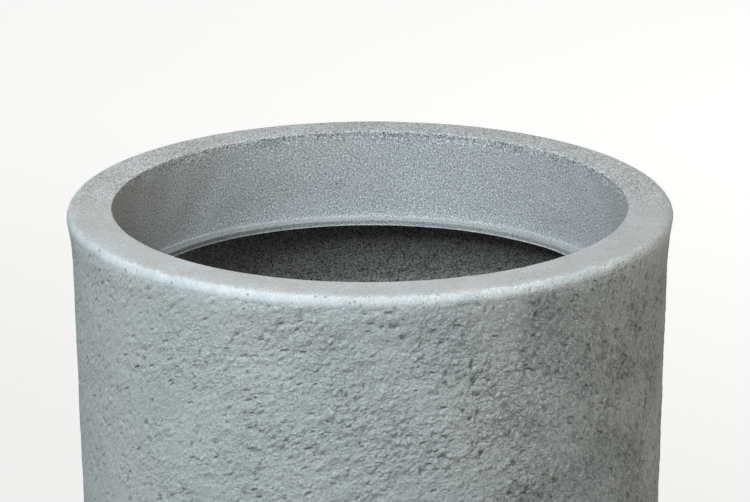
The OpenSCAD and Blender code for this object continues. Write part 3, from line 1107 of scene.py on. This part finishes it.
# The camera of the photograph: its pitch and roll, and the middle of the planter's rim as the camera sees it
PITCH = math.radians(17.54)
ROLL = math.radians(-0.17)
RIM_FROM_CAMERA = Vector((-0.00336, -0.03232, 2.96914))
FOCAL_PX = 4500.0
IMAGE_W = 750.0
SENSOR_W = 36.0

# Where the lamps point
AIM = Vector((0, 0, 0.3))


def build_camera():
    """The camera that sees the planter as the photograph does."""
    level = Matrix(((1, 0, 0), (0, 0, -1), (0, 1, 0)))
    look = Matrix.Rotation(ROLL, 3, "Z") @ Matrix.Rotation(PITCH, 3, "X") @ level
    place = Vector((0, 0, HEIGHT * MM)) - look.transposed() @ RIM_FROM_CAMERA
    axes = Matrix((look[0], -look[1], -look[2])).transposed()
    data = bpy.data.cameras.new("photo_camera")
    data.sensor_fit = "HORIZONTAL"
    data.sensor_width = SENSOR_W
    data.lens = SENSOR_W * FOCAL_PX / IMAGE_W
    data.clip_end = 100.0
    camera = bpy.data.objects.new("photo_camera", data)
    camera.matrix_world = Matrix.Translation(place) @ axes.to_4x4()
    bpy.context.scene.collection.objects.link(camera)
    bpy.context.scene.camera = camera


def area_light(name, azimuth, elevation, size, watts, colour, distance=2.4):
    """A square lamp. Azimuth 0 is on the camera's side, and positive goes to the left of the picture."""
    a, e = math.radians(azimuth), math.radians(elevation)
    way = Vector((-math.sin(a) * math.cos(e), -math.cos(a) * math.cos(e), math.sin(e)))
    data = bpy.data.lights.new(name, "AREA")
    data.shape = "SQUARE"
    data.size = size
    data.energy = watts
    data.color = colour
    lamp = bpy.data.objects.new(name, data)
    lamp.location = AIM + way * distance
    lamp.rotation_euler = way.to_track_quat("Z", "Y").to_euler()
    bpy.context.scene.collection.objects.link(lamp)


def floor_glow(m):
    """How strongly the sheet shows by itself: a little paler at the right and the back behind the planter,
    and even all round far away, so that no line shows where it ends."""
    x, y, _ = m.split(m.place)
    length = m.new("VectorMath", operation="LENGTH")
    m.link(m.place, length.inputs[0])
    away = length.outputs["Value"]
    sideways = m.ramp(x, -0.6, 0.6, -0.072, 0.072, linear=True)
    behind = m.ramp(y, 0.3, 1.7, -0.18, 0.0)
    near = m.times(m.add(sideways, behind), m.ramp(away, 1.2, 3.0, 1.0, 0.0))
    return m.add(near, m.ramp(away, 2.2, 6.0, 0.86, 0.94))


def floor_material():
    """Pale and plain. The camera sees a paler surface, which still shows the planter's shadow."""
    m = Material("pale_floor")
    m.tree.nodes.remove(m.shader)
    plain, shown = m.new("BsdfDiffuse"), m.new("BsdfDiffuse")
    glow, both = m.new("Emission"), m.new("AddShader")
    plain.inputs["Color"].default_value = (0.62, 0.61, 0.59, 1)
    shown.inputs["Color"].default_value = (0.30, 0.298, 0.290, 1)
    glow.inputs["Color"].default_value = (1.0, 0.998, 0.985, 1)
    m.link(floor_glow(m), glow.inputs["Strength"])
    m.link(shown.outputs[0], both.inputs[0])
    m.link(glow.outputs[0], both.inputs[1])
    m.show(plain, both, "Material Output")
    return m.material


def build_floor():
    """One sheet: a wide floor that curves up into a backdrop, far enough back for views from behind."""
    half, back, rise, bend = 9.0, 12.0, 5.0, 2.0
    curve = np.linspace(0.1, math.pi / 2, 12)
    line = [(y, 0.0) for y in (-half, *np.linspace(-3, back - bend, 12))]
    line += [(back - bend + bend * math.sin(t), bend - bend * math.cos(t)) for t in curve]
    line += [(back, bend + rise)]
    xs = np.linspace(-half, half, 9)
    corners = [j * len(xs) + i for j in range(len(line) - 1) for i in range(len(xs) - 1)]
    faces = [(k, k + 1, k + 1 + len(xs), k + len(xs)) for k in corners]
    mesh = bpy.data.meshes.new("floor")
    mesh.from_pydata([(x, y, z) for y, z in line for x in xs], [], faces)
    for poly in mesh.polygons:
        poly.use_smooth = True
    mesh.materials.append(floor_material())
    floor = bpy.data.objects.new("floor", mesh)
    bpy.context.scene.collection.objects.link(floor)


def build_world():
    """Faint light from all round. The camera sees it white."""
    world = bpy.data.worlds.new("studio")
    bpy.context.scene.world = world
    world.use_nodes = True
    w = Nodes(world.node_tree)
    light, white = w.tree.nodes["Background"], w.new("Background")
    light.inputs["Color"].default_value = (0.97, 0.98, 1.0, 1)
    light.inputs["Strength"].default_value = 0.14
    white.inputs["Color"].default_value = (0.97, 0.97, 0.96, 1)
    white.inputs["Strength"].default_value = 1.0
    w.show(light, white, "World Output")


# Everything together

def dress(obj, material, body, node):
    """Gives a piece its material, hangs it on the body it rides on, and hides the solid model's node that it
    stands for.
    """
    obj.data.materials.clear()
    obj.data.materials.append(material)
    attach(obj, body)
    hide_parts(node)


build_camera()
build_floor()
build_world()
area_light("key", 31, 62, 0.6, 35.5, (0.96, 1.0, 1.01))
area_light("front", 24, 42, 1.0, 21.0, (0.93, 1.0, 1.03))
area_light("side", -84, 12, 0.9, 12.0, (1.0, 0.84, 0.64))

dress(build_shell(), concrete_shell(), "planter", "shell")
dress(build_collar(), concrete_collar(), "planter", "collar")
sleeve_plastic = moulded("sleeve_plastic", (0.045, 0.047, 0.050), (0.075, 0.077, 0.080), 0.48, 1500, 4e-5)
dress(build_sleeve(), sleeve_plastic, "planter", "drain_sleeve")
plug_rubber = moulded("plug_rubber", (0.018, 0.018, 0.018), (0.05, 0.05, 0.048), 0.66, 1100, 5e-5)
dress(build_plug(), plug_rubber, "plug", "drain_plug")
foot_rubber = moulded("foot_rubber", (0.020, 0.020, 0.020), (0.06, 0.058, 0.055), 0.74, 1300, 6e-5)
for pad in PADS:
    dress(build_foot(pad), foot_rubber, "planter", f"foot_{pad}")

bpy.context.scene.view_settings.view_transform = "Standard"
bpy.context.view_layer.update()
